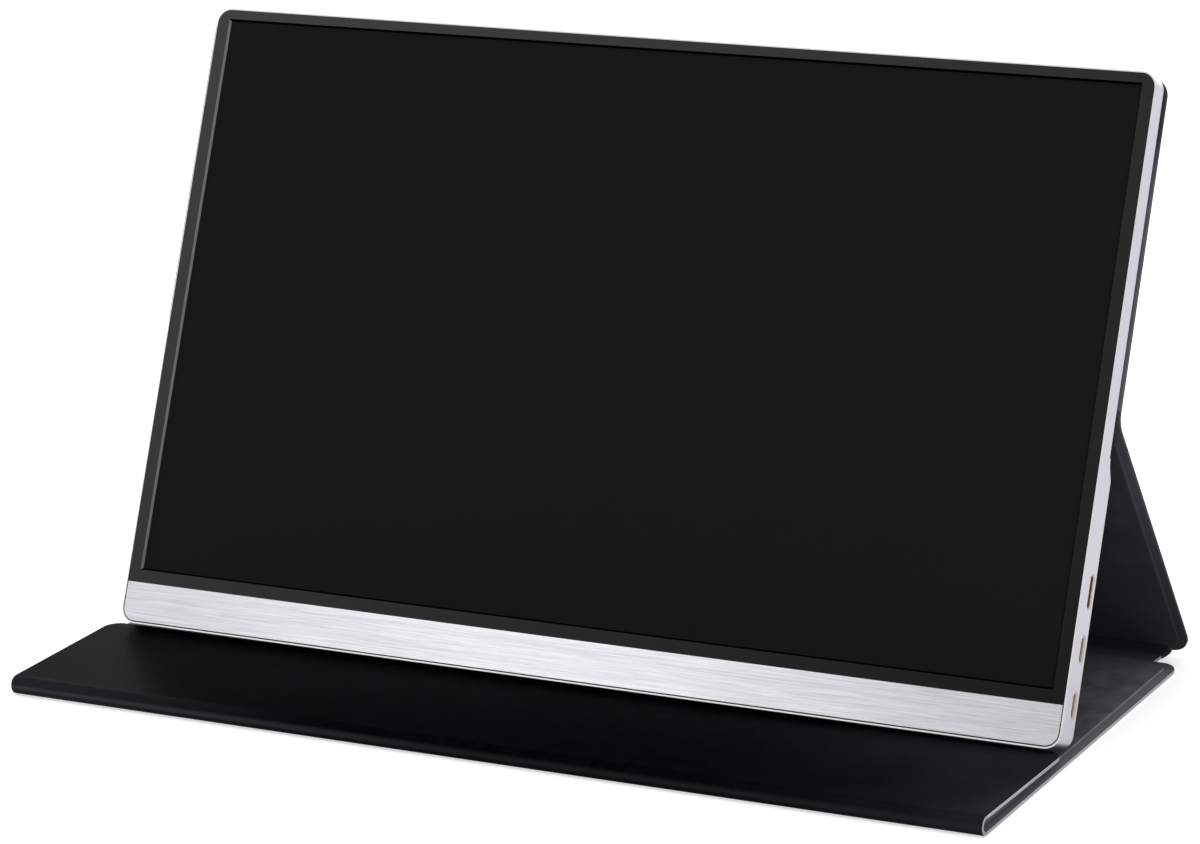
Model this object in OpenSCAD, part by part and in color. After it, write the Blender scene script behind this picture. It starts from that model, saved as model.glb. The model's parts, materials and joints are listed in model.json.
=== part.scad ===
// Portable monitor standing in its folding magnetic cover.
// The origin is on the underside of the cover's base, below the middle of the monitor's
// front bottom edge. X runs to the viewer's right, Y to the back and Z up.
// Inside the monitor, depth is measured back from its face and height up along its face.

/* [Monitor] */
// Width of the monitor
monitor_w = 356; // [340:1:370]
// Height of the monitor along its face
monitor_h = 217.6; // [210:0.2:226]
// Thickness of the thin upper part
upper_t = 7.1; // [6.8:0.1:8]
// Thickness of the thick lower part
lower_t = 10.5; // [10.2:0.1:12]
// Height up the back at which the ramp to the thin part ends
ramp_top = 94; // [80:1:100]
// Length of the ramp along the back
ramp_len = 10; // [6:1:16]
// Radius of the four corners of the face
corner_r = 5.5; // [4.5:0.5:6.5]
// Rounding of the rear edges
rear_r = 0.8; // [0.4:0.1:1.2]
// Bright chamfer on the front edge of the housing
lip_chamfer = 0.3; // [0.2:0.05:0.4]
// Width of the housing's front lip
lip_w = 0.5; // [0.4:0.05:0.8]
// Thickness of the housing's side walls
wall = 1.6; // [1.4:0.1:2]
// Thickness of the housing's back
back_wall = 0.9; // [0.7:0.1:1.1]
// Lean of the monitor back from upright, in degrees
lean = 25.8; // [22:0.2:30]

/* [Screen] */
// Width of the bezel at the sides
side_bezel = 5; // [4:0.2:7]
// Width of the bezel at the top
top_bezel = 3.8; // [3.4:0.2:6]
// Width of the bezel between screen and chin
bottom_bezel = 4.4; // [3.6:0.2:6]
// Height of the chin
chin_h = 14.4; // [13.4:0.2:17]
// Thickness of the front frame
frame_t = 1; // [0.8:0.1:1.2]
// Width of the bevel round the screen opening
bevel_w = 0.6; // [0.3:0.1:0.8]
// Thickness of the chin plate
chin_t = 0.65; // [0.5:0.05:0.7]
// Thickness of the tape behind the chin plate
tape_t = 0.15; // [0.1:0.05:0.2]
// Thickness of the screen's glass stack
glass_t = 1.1; // [0.9:0.1:1.2]
// Thickness of the light guide and its films
guide_t = 1.6; // [1.4:0.1:1.7]
// Sheet thickness of the backlight pan
pan_t = 0.4; // [0.3:0.1:0.5]

/* [Ports] */
// Depth of the middle of the ports behind the face
port_depth = 6.7; // [6.6:0.1:7]
// Height of the lower round-ended port
usb_low_v = 14.9; // [13:0.1:17]
// Height of the upper round-ended port
usb_high_v = 32.7; // [30:0.1:36]
// Height of the wide port
hdmi_v = 51.2; // [48:0.1:56]
// Length of the round-ended ports' mouths
usb_w = 8.34; // [8.2:0.02:8.5]
// Height of the round-ended ports' mouths
usb_t = 2.56; // [2.4:0.02:2.7]
// Length of the wide port's mouth
hdmi_w = 10.6; // [10.2:0.1:11]
// Height of the wide port's mouth
hdmi_t = 2.5; // [2.4:0.1:2.7]
// Sheet thickness of the port shells
socket_wall = 0.3; // [0.2:0.05:0.4]
// Length of the ports into the housing
socket_len = 7.4; // [6.6:0.2:9]

/* [Controls] */
// Height of the audio jack
jack_v = 16; // [13:0.5:19]
// Radius of the audio jack's bore
jack_r = 1.8; // [1.75:0.05:1.9]
// Length of the audio jack's bore
jack_len = 14; // [12:0.5:15]
// Height of the power button
power_v = 32; // [29:0.5:35]
// Length of the power button's cap
power_w = 7; // [6:0.2:8]
// Travel of the power button
power_travel = 0.4; // [0.2:0.05:0.5]
// Height of the jog wheel
jog_v = 48; // [46:0.5:52]
// Radius of the jog wheel
jog_r = 4.2; // [3.8:0.1:4.6]
// Thickness of the jog wheel
jog_t = 2.4; // [2:0.1:2.6]
// How far the button and wheel stand out of the side
control_reach = 0.7; // [0.4:0.1:0.9]

/* [Cover] */
// Width of the cover
cover_w = 362; // [350:1:370]
// Sideways shift of the cover behind the monitor
cover_shift = -2.6; // [-4:0.2:0]
// Thickness of the outer skin
skin_t = 0.6; // [0.4:0.05:0.7]
// Thickness of the stiffening boards
board_t = 1.2; // [0.9:0.1:1.4]
// Thickness of the lining
lining_t = 0.6; // [0.4:0.05:0.7]
// Distance from the cover's edge to its raised part
edge_margin = 2.6; // [2:0.2:5]
// Distance from a fold to a panel's raised part
fold_margin = 1.2; // [0.8:0.2:3]
// Distance from the base's rear edge to its raised part
rear_margin = 5; // [3:0.5:8]
// Reach of the base in front of the monitor
base_front = 54.9; // [45:0.5:65]
// Outer radius of the front fold
fold_r = 3.2; // [3:0.1:3.6]
// Outer radius of the spine's bend
spine_r = 3.5; // [3.2:0.1:4.5]
// Length of the spine that lies flat behind the base
spine_flat = 5.6; // [4.6:0.2:8]
// Distance from the cover's side edges to the ends of the spine
spine_inset = 9.8; // [9:0.2:14]
// How far the strut's lower corners reach past the bend
tab_reach = 2.6; // [1:0.1:3]
// Angle of the strut above the table, in degrees
strut_angle = 61.5; // [56:0.5:66]
// Height up the monitor's back at which the strut leaves it
strut_v = 102.4; // [98:0.2:106]
// Radius of the base's rear corners
base_corner_r = 6.5; // [5:0.5:9]
// Radius of the strut's lower corners
strut_corner_r = 7; // [5:0.5:9]
// Radius of the flap's free corners
flap_corner_r = 5.5; // [5:0.5:12]
// Radius of the back panel's top corners
back_corner_r = 6; // [5:0.5:9]
// Distance from the monitor's top edge to the back panel's top edge
back_drop = 0.5; // [0:0.1:3]

/* [Clearances] */
// Gap between the housing's lip and the front frame
frame_gap = 0.05; // [0.05:0.05:0.15]
// Dark rim of the frame that shows round the chin plate
chin_rim = 0.3; // [0.2:0.05:0.4]
// Gap round ports and controls in the housing's side
side_gap = 0.15; // [0.1:0.05:0.2]
// Gap under the monitor's foot
foot_gap = 0.4; // [0.3:0.05:0.6]
// Gap between the monitor's back and the back panel
hold_gap = 0.1; // [0.05:0.05:0.3]
// Gap between the thick lower part and the strut when they lie together
nest_gap = 0.3; // [0.2:0.05:0.6]
// Gap between the flap and the base under it
flap_gap = 0.35; // [0.2:0.05:0.5]
// Gap between the flap's fold end and the base's, when they lie in one plane
hinge_gap = 0.3; // [0.2:0.05:0.5]
// Radial gap between the jog wheel and its pin
pin_gap = 0.05; // [0.03:0.01:0.08]

/* [Hidden] */
$fn = 64;
cut = 1;

// Screen opening, seen from the front
opening_w = monitor_w - 2 * side_bezel;
opening_v0 = chin_h + bottom_bezel;
opening_v1 = monitor_h - top_bezel;

// Room inside the housing
inner_w = monitor_w - 2 * wall;
inner_h = monitor_h - 2 * wall;
upper_room = upper_t - back_wall;
lower_room = lower_t - back_wall;
side_x = monitor_w / 2;
inner_x = inner_w / 2;

// The housing's inner corners, as far from the outer ones as corner_wall along the diagonal
corner_wall = 0.6;
inner_corner_r = ((corner_r - wall) * sqrt(2) - corner_r + corner_wall) / (sqrt(2) - 1);

// Front frame and chin
frame_edge = lip_w + frame_gap;
frame_w = monitor_w - 2 * frame_edge;
frame_h = monitor_h - 2 * frame_edge;
chin_edge = frame_edge + chin_rim;
chin_w = monitor_w - 2 * chin_edge;
chin_backing = 0.6;
chin_inset = 3;
part_gap = 0.3;

// Screen stack, whose pan stands clear of the housing's inner corners
pan_clearance = 1.2;
pan_side = 0.8;
pan_w = inner_w - 2 * pan_clearance;
pan_v1 = monitor_h - wall - part_gap;
glass_w = pan_w - 2 * pan_side;
glass_v0 = opening_v0 - 2.4;
glass_v1 = pan_v1 - pan_side / 2;
glass_back = frame_t + glass_t;
pan_v0 = glass_v0 - pan_side;
guide_back = glass_back + guide_t;
pan_back = guide_back + pan_t;

// Circuit boards
screw_head_t = 0.5;
screw_head_r = 1.3;
screw_r = 0.7;
screw_hole_r = 0.75;
boss_r = 1.9;
pcb_t = 0.8;
pcb_depth = pan_back + screw_head_t + 0.2;
pcb_back = pcb_depth + pcb_t;
main_w = 66;
main_x1 = inner_x - 0.5;
main_x0 = main_x1 - main_w;
main_v0 = usb_low_v - 8;
main_v1 = hdmi_v + 9;
screw_inset = 3;
main_screws = [
  [main_x0 + screw_inset, main_v0 + screw_inset],
  [main_x0 + screw_inset, main_v1 - screw_inset],
  [main_x1 - screw_inset - 10, main_v0 + screw_inset],
  [main_x1 - screw_inset - 10, main_v1 - screw_inset]
];
screw_len = 3;

// Left side controls
key_x0 = -inner_x + 0.5;
key_w = 18;
key_v0 = jack_v - 6;
key_v1 = jog_v + 8;
key_screws = [
  [key_x0 + key_w - 2.5, key_v0 + 1.8],
  [key_x0 + key_w - 2.5, key_v1 - 2.5]
];
jack_w = 6;
jack_nose_r = jack_r + 0.6;
jack_depth = lower_room - jack_nose_r - 0.4;
power_t = 2;
power_depth = pcb_back + 0.4 + power_t / 2;
power_flange = 0.6;
power_in_x = -inner_x + 0.1 + power_flange;
jog_x = -side_x - control_reach + jog_r;
jog_depth = pcb_back + 0.1 + jog_t / 2;
jog_pin_r = 0.8;
jog_bar_t = 0.6;
jog_bar_w = 3;
jog_slot_w = 2 * sqrt(jog_r * jog_r - pow(jog_x + inner_x, 2)) + 4 * side_gap;

// Speakers
speaker_w = 34;
speaker_h = 12;
speaker_end = 100;
speaker_x = side_x - speaker_end;
speaker_v = 16;
speaker_gap = 0.3;
speaker_t = lower_room - speaker_gap - pan_back - 0.5;
slot_count = 9;
slot_pitch = 3;
slot_w = 1.2;
slot_len = 8;

// Magnets
magnet_w = 24;
magnet_h = 8;
magnet_t = 1.2;
magnet_end = 38;
magnet_out = side_x - magnet_end;
magnet_xs = [-magnet_out, -magnet_out / 3, magnet_out / 3, magnet_out];
magnet_low = 22;
magnet_top = 20;
magnet_play = 0.1;

// Place of the monitor
foot_drop = (lower_t - rear_r) * sin(lean) - rear_r * cos(lean) + rear_r;
panel_t = skin_t + board_t + lining_t;
sheet_t = skin_t + lining_t;
foot_z = panel_t + foot_gap + foot_drop;

// Fold between the back panel and the strut, in depth and height
fold_turn = 90 - strut_angle + lean;
pivot_depth = lower_t + nest_gap + panel_t / 2;
back_depth = upper_t + hold_gap + panel_t;
fold_end_depth = pivot_depth + panel_t / 2 * cos(fold_turn);
fold_end_v = strut_v + panel_t / 2 * sin(fold_turn);
fold_tangent = (fold_end_depth - back_depth) / sin(fold_turn);
back_fold_r = fold_tangent / tan(fold_turn / 2);
back_v0 = fold_end_v + fold_tangent * cos(fold_turn) + fold_tangent;
back_len = monitor_h - back_drop - back_v0;
magnet_rise = [magnet_low, back_len - magnet_top];

// The same fold's pivot above the table, then the spine's place and the strut's length
pivot_y = strut_v * sin(lean) + pivot_depth * cos(lean);
pivot_z = foot_z + strut_v * cos(lean) - pivot_depth * sin(lean);
spine_y = pivot_y
  - (spine_r - panel_t / 2 + (spine_r - pivot_z) * cos(strut_angle)) / sin(strut_angle);
strut_len = (spine_y - pivot_y) * cos(strut_angle) + (pivot_z - spine_r) * sin(strut_angle);
strut_turn = 180 - strut_angle;

// Base and flap
base_y0 = -base_front;
base_y1 = spine_y - spine_flat;
flap_reach = 0.1;
flap_len = base_front + flap_reach;
flap_slope = asin((2 * fold_r - 2 * panel_t - flap_gap) / flap_len);
flap_turn = 180 + flap_slope;
spine_w = cover_w - 2 * spine_inset;

// Colours
silver = [0.80, 0.80, 0.82];
bright = [0.88, 0.88, 0.90];
bezel_grey = [0.20, 0.20, 0.20];
screen_black = [0.11, 0.11, 0.11];
leather_black = [0.07, 0.07, 0.08];
lining_grey = [0.20, 0.20, 0.23];
board_grey = [0.55, 0.53, 0.50];
steel = [0.66, 0.66, 0.68];
circuit_green = [0.10, 0.30, 0.18];
plastic_black = [0.10, 0.10, 0.10];
contact_tan = [0.62, 0.47, 0.36];
foam_grey = [0.35, 0.35, 0.37];
film_white = [0.90, 0.90, 0.88];
wire_red = [0.60, 0.10, 0.10];

// ---- Shapes used more than once ----

// Rounded rectangle, centred across, with its lower edge at zero
module rounded_rect(w, h, r) {
  translate([-w / 2 + r, 0]) square([w - 2 * r, h]);
  translate([-w / 2, r]) square([w, h - 2 * r]);
  for (x = [-w / 2 + r, w / 2 - r]) {
    translate([x, r]) circle(r);
    translate([x, h - r]) circle(r);
  }
}

// Slot with round ends, centred, its length along the first axis
module slot_shape(len, wid) {
  translate([-(len - wid) / 2, -wid / 2]) square([len - wid, wid]);
  for (x = [-(len - wid) / 2, (len - wid) / 2]) translate([x, 0]) circle(wid / 2);
}

// Extrudes a shape drawn in depth and height sideways, centred
module across(w) {
  translate([-w / 2, 0, 0]) rotate([90, 0, 90]) linear_extrude(w) children();
}

// Extrudes a shape drawn across and up, from one depth to another
module through(depth0, depth1) {
  translate([0, depth1, 0]) rotate([90, 0, 0]) linear_extrude(depth1 - depth0) children();
}

// Extrudes a shape drawn up and back sideways, from x0 to x1
module sideways(x0, x1) {
  translate([x1, 0, 0]) rotate([0, -90, 0]) linear_extrude(x1 - x0) children();
}

// Rounded plate that stands in the monitor, lower edge at v0
module face_plate(w, h, r, depth0, depth1, v0) {
  through(depth0, depth1) translate([0, v0]) rounded_rect(w, h, r);
}

// Box that stands in the monitor, given by its corner and size
module box_at(x, depth, v, size) {
  translate([x, depth, v]) cube(size);
}

// Section of the housing: chamfered in front, rounded behind
module housing_section(w, t) {
  c = lip_chamfer;
  polygon([[c, 0], [w - c, 0], [w, c], [0, c]]);
  translate([0, c]) square([w, t - rear_r - c]);
  translate([rear_r, c]) square([w - 2 * rear_r, t - c]);
  for (x = [rear_r, w - rear_r]) translate([x, t - rear_r]) circle(rear_r);
}

// Solid block with the monitor's outline and the housing's edges
module housing_block(t) {
  w = monitor_w;
  h = monitor_h;
  r = corner_r;
  c = lip_chamfer;
  sideways(-w / 2 + r, w / 2 - r) housing_section(h, t);
  translate([-w / 2, 0, r]) linear_extrude(h - 2 * r) housing_section(w, t);
  for (x = [-w / 2 + r, w / 2 - r]) {
    for (v = [r, h - r]) {
      translate([x, 0, v]) rotate([-90, 0, 0]) rotate_extrude() {
        polygon([[0, 0], [r - c, 0], [r, c], [0, c]]);
        translate([0, c]) square([r, t - rear_r - c]);
        translate([0, c]) square([r - rear_r, t - c]);
        translate([r - rear_r, t - rear_r]) circle(rear_r);
      }
    }
  }
}

// Depth of the back along the ramp, from thin at 0 to thick at 1
function ramp_depth(s) = upper_t + (lower_t - upper_t) * (1 - cos(180 * s)) / 2;

// Space in front of the ramp and the thick part's back, moved forward by inset
module ramp_space(inset) {
  steps = 12;
  ramp = [for (i = [0:steps]) [ramp_depth(i / steps) - inset, ramp_top - ramp_len * i / steps]];
  foot = [[lower_t + cut, ramp_top - ramp_len], [lower_t + cut, -cut], [-cut, -cut]];
  across(monitor_w + 2 * cut) polygon(concat([[-cut, ramp_top]], ramp, foot));
}

// Stands the monitor's pieces in their place
module in_monitor() {
  translate([0, 0, foot_z]) rotate([-lean, 0, 0]) children();
}

// Stands the back panel's pieces, drawn flat with the skin down, on the monitor's back
module on_back() {
  in_monitor() translate([0, back_depth, back_v0]) rotate([90, 0, 0]) children();
}

// Folds the strut's pieces, drawn flat from the bend backwards, up against the back panel
module on_strut() {
  translate([0, spine_y, spine_r]) rotate([strut_turn, 0, 0]) translate([0, 0, -spine_r]) children();
}

// Folds the flap's pieces, drawn flat in front of the base, over onto it
module on_flap() {
  translate([0, base_y0, fold_r]) rotate([-flap_turn, 0, 0]) translate([0, 0, -fold_r]) children();
}

// Outline of a cover panel from y0 to y1, with corner radii at each end
module panel_outline(y0, y1, r0, r1, inset) {
  w = cover_w - 2 * inset;
  translate([cover_shift, 0]) {
    translate([-w / 2, y0 + r0]) square([w, y1 - y0 - r0 - r1]);
    if (r0 > 0) {
      translate([-w / 2 + r0, y0]) square([w - 2 * r0, 2 * r0]);
      for (x = [-w / 2 + r0, w / 2 - r0]) translate([x, y0 + r0]) circle(r0);
    }
    if (r1 > 0) {
      translate([-w / 2 + r1, y1 - 2 * r1]) square([w - 2 * r1, 2 * r1]);
      for (x = [-w / 2 + r1, w / 2 - r1]) translate([x, y1 - r1]) circle(r1);
    }
  }
}

// Raised part of a panel that runs from y0 to y1
module raised_outline(y0, y1, r, inset) {
  panel_outline(y0 + inset, y1 - inset, r - inset, r - inset, edge_margin + inset);
}

// Stiffening board under the lining
module panel_board(y0, y1, r) {
  translate([0, 0, skin_t]) linear_extrude(board_t) raised_outline(y0, y1, r, lining_t);
}

// Lining stretched over the board, with the pocket that holds it; the flat sheet is a child
module panel_lining(y0, y1, r) {
  difference() {
    union() {
      translate([0, 0, skin_t]) linear_extrude(lining_t) children();
      translate([0, 0, skin_t]) linear_extrude(board_t + lining_t) raised_outline(y0, y1, r, 0);
    }
    translate([0, 0, skin_t - cut]) linear_extrude(board_t + cut) raised_outline(y0, y1, r, lining_t);
  }
}

// Part of a ring between two angles
module ring_part(r0, r1, a0, a1) {
  steps = 6;
  fan = [for (i = [0:steps]) 3 * r1 * [cos(a0 + (a1 - a0) * i / steps), sin(a0 + (a1 - a0) * i / steps)]];
  intersection() {
    difference() {
      circle(r1);
      circle(r0);
    }
    polygon(concat([[0, 0]], fan));
  }
}

// Magnets in a row across the cover or the monitor, each grown by play
module magnet_row(y, play) {
  for (x = magnet_xs) {
    translate([x - magnet_w / 2 - play, y - magnet_h / 2 - play]) {
      square([magnet_w + 2 * play, magnet_h + 2 * play]);
    }
  }
}

// ---- Monitor ----

module rear_shell() color(silver) in_monitor() difference() {
  union() {
    difference() {
      union() {
        housing_block(upper_t);
        intersection() {
          housing_block(lower_t);
          ramp_space(0);
        }
      }
      face_plate(monitor_w - 2 * lip_w, monitor_h - 2 * lip_w, corner_r - lip_w, -cut, frame_t, lip_w);
      face_plate(inner_w, inner_h, inner_corner_r, frame_t - 0.1, upper_room, wall);
      intersection() {
        face_plate(inner_w, inner_h, inner_corner_r, frame_t - 0.1, lower_room, wall);
        ramp_space(back_wall);
      }
    }
    for (p = concat(main_screws, key_screws)) {
      through(pcb_back, lower_room + 0.1) translate(p) circle(boss_r);
    }
  }
  for (p = concat(main_screws, key_screws)) {
    through(pcb_back - cut, pcb_back + screw_len) translate(p) circle(screw_hole_r);
  }
  for (v = [usb_low_v, usb_high_v]) {
    sideways(inner_x - cut, side_x + cut) translate([v, port_depth]) {
      slot_shape(usb_w + 2 * socket_wall + 2 * side_gap, usb_t + 2 * socket_wall + 2 * side_gap);
    }
  }
  sideways(inner_x - cut, side_x + cut) translate([hdmi_v, port_depth]) {
    slot_shape(hdmi_w + 2 * socket_wall + 2 * side_gap, hdmi_t + 2 * socket_wall + 2 * side_gap);
  }
  sideways(-side_x - cut, -inner_x + cut) {
    translate([jack_v, jack_depth]) circle(jack_nose_r + side_gap);
    translate([power_v, power_depth]) slot_shape(power_w + 2 * side_gap, power_t + 2 * side_gap);
    translate([jog_v, jog_depth]) slot_shape(jog_slot_w + jog_t, jog_t + 2 * side_gap);
  }
  for (side = [-1, 1]) {
    for (i = [0:slot_count - 1]) {
      through(lower_room - 0.2, lower_t + cut) {
        translate([side * speaker_x + (i - (slot_count - 1) / 2) * slot_pitch, speaker_v]) {
          rotate(90) slot_shape(slot_len, slot_w);
        }
      }
    }
  }
}

module front_frame() color(bezel_grey) in_monitor() difference() {
  union() {
    face_plate(frame_w, frame_h, corner_r - frame_edge, 0, frame_t, frame_edge);
    through(frame_t - 0.1, frame_t + chin_backing) {
      translate([-inner_x + chin_inset, wall + part_gap]) {
        square([inner_w - 2 * chin_inset, glass_v0 - part_gap - wall - part_gap]);
      }
    }
  }
  intersection() {
    across(monitor_w) polygon([
      [0 - cut, opening_v0 - bevel_w * cut / frame_t], [0 - cut, opening_v1 + bevel_w * cut / frame_t],
      [frame_t + cut, opening_v1 - bevel_w - bevel_w * cut / frame_t],
      [frame_t + cut, opening_v0 + bevel_w + bevel_w * cut / frame_t]
    ]);
    linear_extrude(monitor_h) polygon([
      [-opening_w / 2 - bevel_w * cut / frame_t, -cut], [opening_w / 2 + bevel_w * cut / frame_t, -cut],
      [opening_w / 2 - bevel_w - bevel_w * cut / frame_t, frame_t + cut],
      [-opening_w / 2 + bevel_w + bevel_w * cut / frame_t, frame_t + cut]
    ]);
  }
  through(-cut, chin_t + tape_t) chin_outline(0);
}

// Outline of the chin plate, rounded at its lower corners
module chin_outline(inset) {
  w = chin_w - 2 * inset;
  r = corner_r - chin_edge - inset;
  v0 = chin_edge + inset;
  translate([0, v0]) {
    translate([-w / 2 + r, 0]) square([w - 2 * r, 2 * r]);
    for (x = [-w / 2 + r, w / 2 - r]) translate([x, r]) circle(r);
  }
  translate([-w / 2, v0 + r]) square([w, chin_h - inset - v0 - r]);
}

module chin_tape() color(film_white) in_monitor() through(chin_t, chin_t + tape_t) chin_outline(1);

module chin_plate() color(bright) in_monitor() through(0, chin_t) chin_outline(0.05);

module lcd_panel() color(screen_black) in_monitor() {
  box_at(-glass_w / 2, frame_t, glass_v0, [glass_w, glass_t, glass_v1 - glass_v0]);
}

module light_guide() color(film_white) in_monitor() {
  box_at(-glass_w / 2, glass_back, glass_v0, [glass_w, guide_t, glass_v1 - glass_v0]);
}

module backlight_pan() color(steel) in_monitor() difference() {
  box_at(-pan_w / 2, glass_back, pan_v0, [pan_w, guide_t + pan_t, pan_v1 - pan_v0]);
  box_at(-glass_w / 2, glass_back - cut, glass_v0, [glass_w, guide_t + cut, glass_v1 - glass_v0]);
}

driver_inset = 25;
driver_w = pan_w - 2 * driver_inset;
driver_v0 = wall + 4;
driver_v1 = pan_v0 - 0.6;
driver_depth = frame_t + chin_backing;

module lcd_driver_board() color(circuit_green) in_monitor() {
  box_at(-driver_w / 2, driver_depth, driver_v0, [driver_w, pcb_t, driver_v1 - driver_v0]);
}

// Soft strips that back the screen against the housing
module panel_pads() color(foam_grey) in_monitor() {
  pad_w = 8;
  pad_v0 = ramp_top + 4;
  pad_len = pan_v1 - 6 - pad_v0;
  for (x = [-pan_w / 2 + 2, -pad_w / 2, pan_w / 2 - 2 - pad_w]) {
    box_at(x, pan_back, pad_v0, [pad_w, upper_room - pan_back, pad_len]);
  }
}

// Flat cable from the driver board, under the pan, to the main board
module panel_cable() color(plastic_black) in_monitor() {
  cable_w = 14;
  cable_t = 0.2;
  start = driver_depth + pcb_t;
  bend_v = driver_v0 + 1;
  translate([main_x0 + 14, 0, 0]) across(cable_w) polygon([
    [start, bend_v], [start, bend_v + 3], [start + cable_t, bend_v + 3],
    [start + cable_t, bend_v + cable_t], [pcb_depth - cable_t, bend_v + cable_t],
    [pcb_depth - cable_t, main_v0 + 8], [pcb_depth, main_v0 + 8], [pcb_depth, bend_v]
  ]);
}

module main_board() color(circuit_green) in_monitor() difference() {
  box_at(main_x0, pcb_depth, main_v0, [main_w, pcb_t, main_v1 - main_v0]);
  for (v = [usb_low_v, usb_high_v, hdmi_v]) {
    notch = (v == hdmi_v ? hdmi_w : usb_w) + 2 * socket_wall + 0.2;
    box_at(side_x - socket_len - 0.2, pcb_depth - cut, v - notch / 2, [socket_len, pcb_t + 2 * cut, notch]);
  }
  for (p = main_screws) through(pcb_depth - cut, pcb_back + cut) translate(p) circle(screw_hole_r);
}

// Chips, coils and plug sockets on the back of the main board: place from its middle, then size
chip_offset = 6;
chips = [
  [-7, -7, [14, 1.2, 14]],
  [-20, -5, [8, 1, 10]],
  [11, 8, [4, 2, 4]],
  [11, -12, [5, 2, 5]],
  [-22, 11, [12, 1.6, 4]],
  [-22, -16, [6, 2, 4]]
];

module board_chips() color(plastic_black) in_monitor() {
  mid_x = (main_x0 + main_x1) / 2 - chip_offset;
  mid_v = (main_v0 + main_v1) / 2;
  for (chip = chips) box_at(mid_x + chip[0], pcb_back, mid_v + chip[1], chip[2]);
}

module board_screws() color(steel) in_monitor() {
  for (p = concat(main_screws, key_screws)) {
    through(pcb_depth - screw_head_t, pcb_depth) translate(p) circle(screw_head_r);
    through(pcb_depth - 0.1, pcb_back + screw_len - 0.3) translate(p) circle(screw_r);
  }
}

// Folded metal shell of a port, open to the side
module socket_shell(v, w, t) {
  sideways(side_x - socket_len, side_x - 0.05) translate([v, port_depth]) difference() {
    slot_shape(w + 2 * socket_wall, t + 2 * socket_wall);
    slot_shape(w, t);
  }
}

// Plastic block at the inner end of a port, with the contact tongue
module socket_insert(v, w, t, tongue) {
  sideways(side_x - socket_len, side_x - socket_len + 1.4) translate([v, port_depth]) slot_shape(w, t);
  sideways(side_x - socket_len + 1.3, side_x - 1.2) translate([v - tongue / 2, port_depth - 0.35]) {
    square([tongue, 0.7]);
  }
}

module mini_hdmi_socket() color(bright) in_monitor() socket_shell(hdmi_v, hdmi_w, hdmi_t);

module mini_hdmi_insert() color(contact_tan) in_monitor() {
  socket_insert(hdmi_v, hdmi_w, hdmi_t, hdmi_w - 3);
}

module usb_c_socket_upper() color(bright) in_monitor() socket_shell(usb_high_v, usb_w, usb_t);

module usb_c_socket_lower() color(bright) in_monitor() socket_shell(usb_low_v, usb_w, usb_t);

module usb_c_inserts() color(contact_tan) in_monitor() {
  for (v = [usb_low_v, usb_high_v]) socket_insert(v, usb_w, usb_t, usb_w - 1.7);
}

module button_board() color(circuit_green) in_monitor() difference() {
  box_at(key_x0, pcb_depth, key_v0, [key_w, pcb_t, key_v1 - key_v0]);
  jack_room = jack_w + 0.2;
  box_at(key_x0 - cut, pcb_depth - cut, jack_v - jack_room / 2, [jack_len + cut, pcb_t + 2 * cut, jack_room]);
  for (p = key_screws) through(pcb_depth - cut, pcb_back + cut) translate(p) circle(screw_hole_r);
}

// Ribbon along the bottom of the housing that joins the two boards
module button_cable() color(plastic_black) in_monitor() {
  ribbon_h = 5;
  ribbon_v = key_v1 - 12;
  x0 = key_x0 + key_w - 5;
  x1 = main_x0 + 5;
  box_at(x0, pcb_back, ribbon_v, [x1 - x0, 0.2, ribbon_h]);
}

module audio_jack() color(plastic_black) in_monitor() difference() {
  union() {
    sideways(-side_x, -inner_x + 0.6) translate([jack_v, jack_depth]) circle(jack_nose_r);
    jack_size = [jack_len - wall, 2 * jack_nose_r, jack_w];
    box_at(-inner_x + 0.3, jack_depth - jack_nose_r, jack_v - jack_w / 2, jack_size);
  }
  sideways(-side_x - cut, -side_x + jack_len) translate([jack_v, jack_depth]) circle(jack_r);
}

module power_switch() color(steel) in_monitor() {
  switch_x = power_in_x + power_travel + 0.1;
  box_at(switch_x, pcb_back, power_v - 2, [3, power_t + 0.8, 4]);
}

module power_button() color(silver) in_monitor() {
  sideways(-side_x - control_reach, power_in_x) translate([power_v, power_depth]) {
    slot_shape(power_w, power_t);
  }
  sideways(power_in_x - power_flange, power_in_x) translate([power_v, power_depth]) {
    slot_shape(power_w + 1.2, power_t + 0.7);
  }
}

// Pin and bracket that carry the wheel
module jog_switch() color(steel) in_monitor() {
  bar_depth = jog_depth + jog_t / 2 + 0.1;
  block_x = jog_x + jog_r + 0.4;
  through(pcb_back, bar_depth + 0.1) translate([jog_x, jog_v]) circle(jog_pin_r);
  box_at(jog_x - 1.5, bar_depth, jog_v - jog_bar_w / 2, [block_x + 4 - jog_x + 1.5, jog_bar_t, jog_bar_w]);
  box_at(block_x, pcb_back, jog_v - 3, [4, bar_depth + jog_bar_t - pcb_back, 6]);
}

module jog_wheel() color(silver) in_monitor() difference() {
  through(jog_depth - jog_t / 2, jog_depth + jog_t / 2) translate([jog_x, jog_v]) difference() {
    circle(jog_r);
    circle(jog_pin_r + pin_gap);
  }
  ribs = 24;
  for (i = [0:ribs - 1]) {
    through(jog_depth - jog_t, jog_depth + jog_t) translate([jog_x, jog_v]) {
      rotate(i * 360 / ribs) translate([jog_r + 0.12, 0]) circle(0.3);
    }
  }
}

// Flat box speaker with its oval cone toward the slots in the back
module speaker(x) {
  front = lower_room - speaker_gap - speaker_t;
  difference() {
    through(front, lower_room - speaker_gap) translate([x, speaker_v - speaker_h / 2]) {
      rounded_rect(speaker_w, speaker_h, 2);
    }
    through(lower_room - speaker_gap - 0.8, lower_room) translate([x, speaker_v]) {
      slot_shape(speaker_w - 4, speaker_h - 3);
    }
  }
}

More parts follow.
